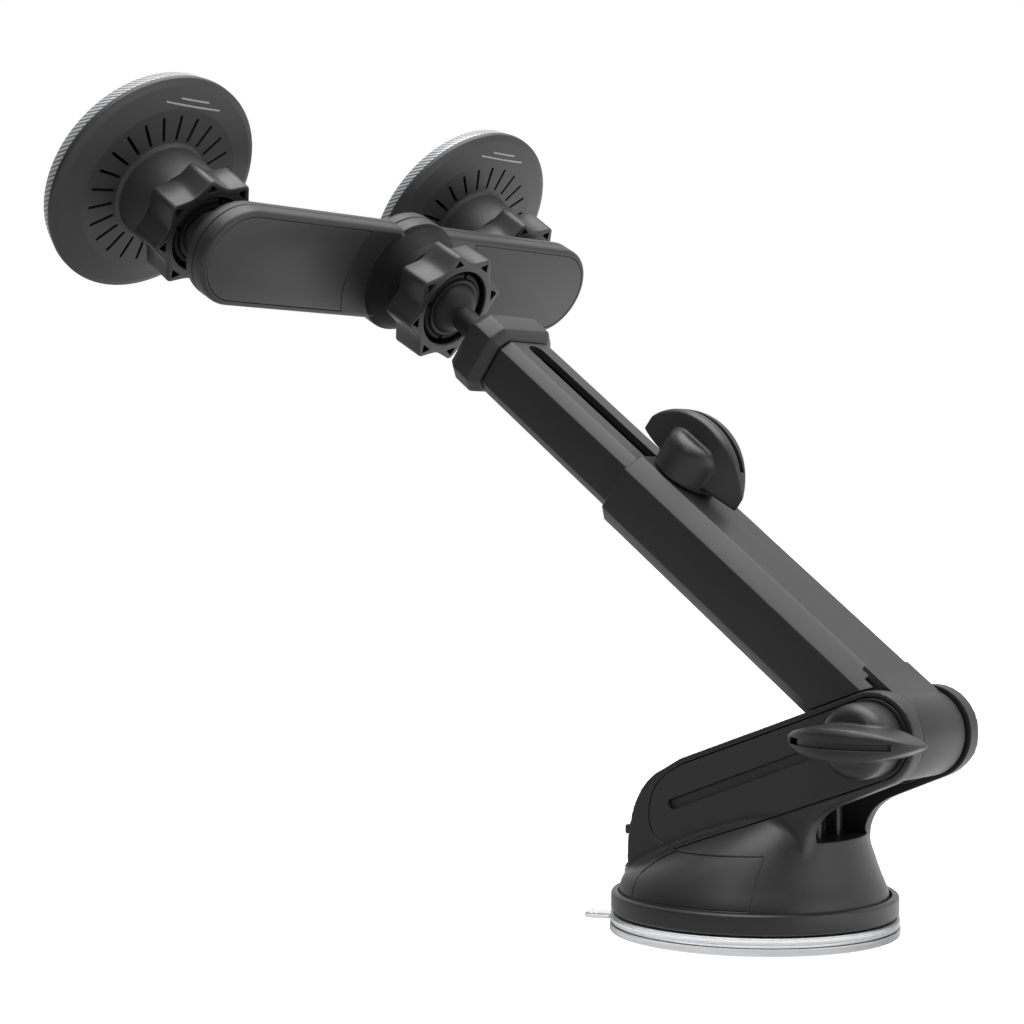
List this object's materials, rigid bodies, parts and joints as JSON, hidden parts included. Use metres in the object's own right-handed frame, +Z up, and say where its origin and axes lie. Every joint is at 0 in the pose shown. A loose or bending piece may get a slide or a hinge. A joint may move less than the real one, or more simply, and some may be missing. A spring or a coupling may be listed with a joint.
{
  "type": "car phone mount",
  "caption": "Suction-base phone mount with a folding telescopic arm, a crossbar on a ball joint and round magnetic heads on ball joints of their own.",
  "frame": {"origin": "centre of the suction face, the underside of the clear gel pad", "axes": "+Z up out of the surface it is stuck to, +X toward the fork's hinge end, Y along the hinge bolt and the crossbar at rest"},
  "size_m": [0.2306, 0.1868, 0.2158],
  "materials": {
    "matte_black": "satin moulded, fine grain",
    "trim_black": "satin moulded, slightly smoother",
    "rubber_black": "matt silicone",
    "nylon_liner": "dry nylon",
    "carbon_look": "carbon-weave look under a clear coat",
    "clear_gel": "clear polyurethane gel",
    "steel": "zinc plated",
    "magnet_nickel": "nickel plated magnet ring"
  },
  "bodies": {
    "base": {"base_shell": "matte_black", "rim_ring": "trim_black", "suction_pad": "clear_gel", "side_cover_near": "trim_black", "side_cover_far": "trim_black", "skirt_panel_near": "matte_black", "skirt_panel_far": "matte_black", "lever_pin": "steel", "hinge_bolt": "steel", "friction_washer_near": "nylon_liner", "friction_washer_far": "nylon_liner"},
    "lock_lever": {"lock_lever": "matte_black"},
    "suction_plate": {"suction_plate": "matte_black"},
    "hinge_knob": {"hinge_knob": "trim_black"},
    "arm": {"outer_tube": "matte_black", "clamp_nut": "steel"},
    "clamp_knob": {"clamp_knob": "trim_black", "clamp_screw": "steel"},
    "inner_arm": {"inner_tube": "matte_black", "top_cap": "matte_black"},
    "centre_stud": {"centre_stud": "matte_black"},
    "centre_seat": {"centre_ball_seat": "nylon_liner"},
    "crossbar": {"centre_collet": "matte_black", "crossbar_front": "matte_black", "crossbar_rear": "matte_black", "panel_left": "trim_black", "panel_right": "trim_black"},
    "centre_nut": {"centre_nut": "trim_black"},
    "left_stud": {"left_stud": "matte_black"},
    "left_seat": {"left_ball_seat": "nylon_liner"},
    "left_head": {"left_collet": "matte_black", "back_cover_left": "matte_black", "rim_band_left": "carbon_look", "face_pad_left": "rubber_black", "steel_plate_left": "steel", "magnet_ring_left": "magnet_nickel"},
    "left_nut": {"left_nut": "trim_black"},
    "right_stud": {"right_stud": "matte_black"},
    "right_seat": {"right_ball_seat": "nylon_liner"},
    "right_head": {"right_collet": "matte_black", "back_cover_right": "matte_black", "rim_band_right": "carbon_look", "face_pad_right": "rubber_black", "steel_plate_right": "steel", "magnet_ring_right": "magnet_nickel"},
    "right_nut": {"right_nut": "trim_black"}
  },
  "joints": [
    {"name": "lock_lever_turn", "type": "hinge", "parent": "base", "child": "lock_lever", "pos_m": [-0.0286, 0, 0.0132], "axis": [0, -1, 0], "range_deg": [0, 50]},
    {"name": "suction_plate_lift", "type": "slide", "parent": "base", "child": "suction_plate", "axis": [0, 0, 1], "range_m": [-0.0022, 0]},
    {"name": "arm_fold", "type": "hinge", "parent": "base", "child": "arm", "pos_m": [0.0422, 0, 0.0504], "axis": [0, 1, 0], "range_deg": [0, 115]},
    {"name": "hinge_knob_turn", "type": "hinge", "parent": "base", "child": "hinge_knob", "pos_m": [0.0422, -0.015, 0.0504], "axis": [0, -1, 0], "continuous": true},
    {"name": "arm_telescope", "type": "slide", "parent": "arm", "child": "inner_arm", "axis": [-0.7986, 0, 0.6018], "range_m": [-0.05, 0.012]},
    {"name": "clamp_knob_turn", "type": "hinge", "parent": "arm", "child": "clamp_knob", "pos_m": [-0.02135, 0, 0.11062], "axis": [0.6018, 0, 0.7986], "continuous": true},
    {"name": "centre_swivel", "type": "hinge", "parent": "inner_arm", "child": "centre_stud", "pos_m": [-0.1006, 0, 0.158], "axis": [-0.7986, 0, 0.6018], "continuous": true},
    {"name": "centre_tilt", "type": "hinge", "parent": "centre_stud", "child": "centre_seat", "pos_m": [-0.1006, 0, 0.158], "axis": [0, 1, 0], "range_deg": [-19, 19]},
    {"name": "centre_spin", "type": "hinge", "parent": "centre_seat", "child": "crossbar", "pos_m": [-0.1006, 0, 0.158], "axis": [0.8704, 0, -0.4924], "continuous": true},
    {"name": "centre_nut_turn", "type": "hinge", "parent": "crossbar", "child": "centre_nut", "pos_m": [-0.1006, 0, 0.158], "axis": [0.8704, 0, -0.4924], "continuous": true},
    {"name": "left_head_swivel", "type": "hinge", "parent": "crossbar", "child": "left_stud", "pos_m": [-0.13088, -0.062, 0.17514], "axis": [0.8704, 0, -0.4924], "continuous": true},
    {"name": "left_head_tilt", "type": "hinge", "parent": "left_stud", "child": "left_seat", "pos_m": [-0.13088, -0.062, 0.17514], "axis": [0, 1, 0], "range_deg": [-15.5, 15.5]},
    {"name": "left_head_spin", "type": "hinge", "parent": "left_seat", "child": "left_head", "pos_m": [-0.13088, -0.062, 0.17514], "axis": [0.8192, 0, -0.5736], "continuous": true},
    {"name": "left_nut_turn", "type": "hinge", "parent": "left_head", "child": "left_nut", "pos_m": [-0.13088, -0.062, 0.17514], "axis": [0.8192, 0, -0.5736], "continuous": true},
    {"name": "right_head_swivel", "type": "hinge", "parent": "crossbar", "child": "right_stud", "pos_m": [-0.13088, 0.062, 0.17514], "axis": [0.8704, 0, -0.4924], "continuous": true},
    {"name": "right_head_tilt", "type": "hinge", "parent": "right_stud", "child": "right_seat", "pos_m": [-0.13088, 0.062, 0.17514], "axis": [0, 1, 0], "range_deg": [-15.5, 15.5]},
    {"name": "right_head_spin", "type": "hinge", "parent": "right_seat", "child": "right_head", "pos_m": [-0.13088, 0.062, 0.17514], "axis": [0.8192, 0, -0.5736], "continuous": true},
    {"name": "right_nut_turn", "type": "hinge", "parent": "right_head", "child": "right_nut", "pos_m": [-0.13088, 0.062, 0.17514], "axis": [0.8192, 0, -0.5736], "continuous": true}
  ],
  "couplings": [
    {"joint": "suction_plate_lift", "follows": "lock_lever_turn", "m_per_rad": -0.0025}
  ]
}
